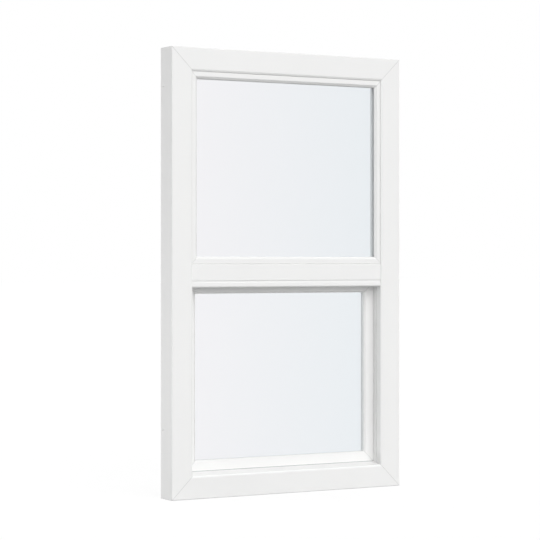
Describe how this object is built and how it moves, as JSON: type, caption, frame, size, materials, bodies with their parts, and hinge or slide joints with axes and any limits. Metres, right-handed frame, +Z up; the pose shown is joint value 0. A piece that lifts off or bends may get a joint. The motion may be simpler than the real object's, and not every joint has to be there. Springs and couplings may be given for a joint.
{
  "type": "single hung window",
  "caption": "White vinyl window with a fixed upper lite and a lower sash that slides up behind it, insulating glass, meeting rail, cam lock and balances.",
  "frame": {"origin": "middle of the sill's flat underside, at half the frame's depth", "axes": "+X across to the right seen from the weather side, +Y from the weather side to the room side, +Z up"},
  "size_m": [0.902, 0.0931, 1.511],
  "materials": {
    "vinyl": "satin white extruded vinyl",
    "glass": "clear float glass",
    "spacer": "white warm edge spacer",
    "block": "dark setting block",
    "seal": "grey weatherstrip bulb",
    "pile": "grey woven pile",
    "hardware": "white enamelled die casting",
    "spring": "bright spring steel",
    "shoe": "moulded nylon"
  },
  "bodies": {
    "root": {"frame_head": "vinyl", "frame_sill": "vinyl", "frame_left_jamb": "vinyl", "frame_right_jamb": "vinyl", "fixed_meeting_rail": "vinyl", "upper_bead_top": "vinyl", "upper_bead_bottom": "vinyl", "upper_bead_left": "vinyl", "upper_bead_right": "vinyl", "upper_stop_top": "vinyl", "upper_stop_bottom": "vinyl", "upper_stop_left": "vinyl", "upper_stop_right": "vinyl", "upper_outer_pane": "glass", "upper_inner_pane": "glass", "upper_spacer": "spacer", "upper_setting_blocks": "block", "sash_top_rail": "vinyl", "sash_bottom_rail": "vinyl", "sash_left_stile": "vinyl", "sash_right_stile": "vinyl", "sash_bead_top": "vinyl", "sash_bead_bottom": "vinyl", "sash_bead_left": "vinyl", "sash_bead_right": "vinyl", "sash_outer_pane": "glass", "sash_inner_pane": "glass", "sash_spacer": "spacer", "sash_setting_blocks": "block", "stile_piles": "pile", "meeting_rail_pile": "pile", "sash_bottom_seal": "seal", "lock_body": "hardware", "lock_lever": "hardware", "lock_keeper": "hardware", "left_tilt_latch": "hardware", "right_tilt_latch": "hardware", "left_pivot_bar": "spring", "right_pivot_bar": "spring", "left_balance_shoe": "shoe", "right_balance_shoe": "shoe", "left_balance_coil": "spring", "right_balance_coil": "spring"}
  },
  "joints": []
}
